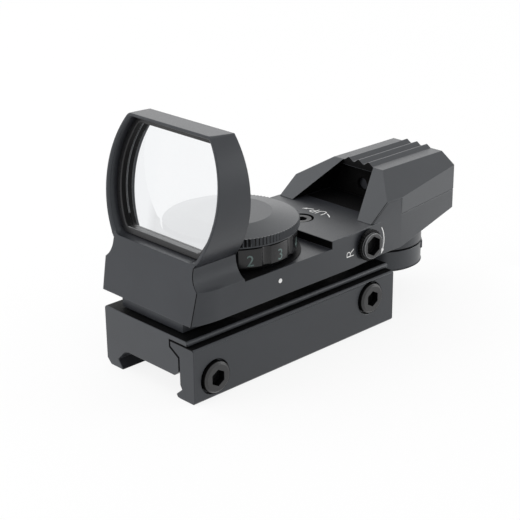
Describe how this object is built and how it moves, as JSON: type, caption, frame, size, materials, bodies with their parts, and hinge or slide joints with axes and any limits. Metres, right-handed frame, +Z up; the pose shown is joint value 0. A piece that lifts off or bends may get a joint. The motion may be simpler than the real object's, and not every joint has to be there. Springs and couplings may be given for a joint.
{
  "type": "red dot finder",
  "caption": "Open reflex sight used as a red dot finder: leaning hood with a tilted lens, brightness dial over a coin battery, emitter cover and a screw clamp for a dovetail rail.",
  "frame": {"origin": "middle of the base's length on the roof of the rail groove, in the sight's middle plane", "axes": "+Z up, +Y from the lens end to the emitter end, +X towards the loose jaw and the windage screw"},
  "size_m": [0.0328, 0.0809, 0.0513],
  "materials": {
    "body_black": "fine bead-blasted black anodising, satin",
    "screw_black": "blackened steel, semi-gloss",
    "steel": "bright drawn steel",
    "lens_glass": "coated glass, faint blue-white reflection",
    "ring_black": "black anodised, semi-gloss edges",
    "rubber": "matte black rubber",
    "dial_black": "glossy black anodised, numbers filled in pale grey",
    "contact": "sprung contact sheet",
    "cell_steel": "plated coin cell",
    "board": "green circuit board",
    "bezel_black": "matte black",
    "led_red": "clear red epoxy",
    "drum_metal": "thin sheet, etched reticles"
  },
  "bodies": {
    "base": {"rail_base": "body_black", "windage_post": "screw_black", "spring_bolt": "screw_black"},
    "saddle": {"pivot_saddle": "body_black"},
    "sight": {"housing": "body_black", "hinge_pin": "steel", "bottom_cover": "body_black", "bottom_cover_screws": "screw_black", "lens": "lens_glass", "lens_ring": "ring_black", "lens_gasket": "rubber", "dial_hub": "screw_black", "contact_board": "board", "detent_balls": "steel", "detent_springs": "steel", "elevation_spring": "steel", "windage_spring": "steel", "emitter_cover": "body_black", "emitter_cover_screws": "screw_black", "emitter_bezel": "bezel_black", "led_board": "board", "led": "led_red"},
    "jaw": {"clamp_jaw": "body_black"},
    "front_clamp": {"front_clamp_screw": "screw_black"},
    "rear_clamp": {"rear_clamp_screw": "screw_black"},
    "windage_adjuster": {"windage_screw": "screw_black"},
    "elevation_adjuster": {"elevation_screw": "screw_black"},
    "dial": {"dial_ring": "dial_black", "battery_contact": "contact", "battery": "cell_steel"},
    "cap": {"battery_cap": "body_black", "cap_seal": "rubber"},
    "selector": {"selector_knob": "body_black", "selector_screw": "screw_black", "reticle_drum": "drum_metal"}
  },
  "joints": [
    {"name": "windage", "type": "hinge", "parent": "base", "child": "saddle", "pos_m": [0, -0.0195, 0.0083], "axis": [0, 0, 1], "range_deg": [-1, 1], "deforming": ["windage_spring"]},
    {"name": "elevation", "type": "hinge", "parent": "saddle", "child": "sight", "pos_m": [0, -0.0195, 0.01355], "axis": [1, 0, 0], "range_deg": [-1, 1], "deforming": ["elevation_spring"]},
    {"name": "jaw_slide", "type": "slide", "parent": "base", "child": "jaw", "axis": [1, 0, 0], "range_m": [0, 0.003]},
    {"name": "front_clamp_turn", "type": "hinge", "parent": "jaw", "child": "front_clamp", "pos_m": [0, -0.0231, -0.0001], "axis": [1, 0, 0], "range_deg": [0, 1545]},
    {"name": "rear_clamp_turn", "type": "hinge", "parent": "jaw", "child": "rear_clamp", "pos_m": [0, 0.021, 0.00295], "axis": [1, 0, 0], "range_deg": [0, 1545]},
    {"name": "windage_turn", "type": "hinge", "parent": "sight", "child": "windage_adjuster", "pos_m": [0.014, 0.02016, 0.0153], "axis": [1, 0, 0], "range_deg": [-500, 500]},
    {"name": "elevation_turn", "type": "hinge", "parent": "sight", "child": "elevation_adjuster", "pos_m": [0, 0.01486, 0.0189], "axis": [0, 0, 1], "range_deg": [-435, 435]},
    {"name": "brightness_dial", "type": "hinge", "parent": "sight", "child": "dial", "pos_m": [0, -0.00519, 0.0189], "axis": [0, 0, 1], "range_deg": [-240, 90]},
    {"name": "cap_unscrew", "type": "hinge", "parent": "dial", "child": "cap", "pos_m": [0, -0.00519, 0.0229], "axis": [0, 0, 1], "range_deg": [0, 450]},
    {"name": "reticle_selector", "type": "hinge", "parent": "sight", "child": "selector", "pos_m": [0, 0.04036, 0.01135], "axis": [0, 0, 1], "range_deg": [0, 90]}
  ],
  "couplings": [
    {"joint": "front_clamp_turn", "follows": "jaw_slide", "rad_per_m": 8976},
    {"joint": "rear_clamp_turn", "follows": "jaw_slide", "rad_per_m": 8976},
    {"joint": "windage_turn", "follows": "windage", "ratio": 498.37},
    {"joint": "elevation_turn", "follows": "elevation", "ratio": -431.77}
  ]
}
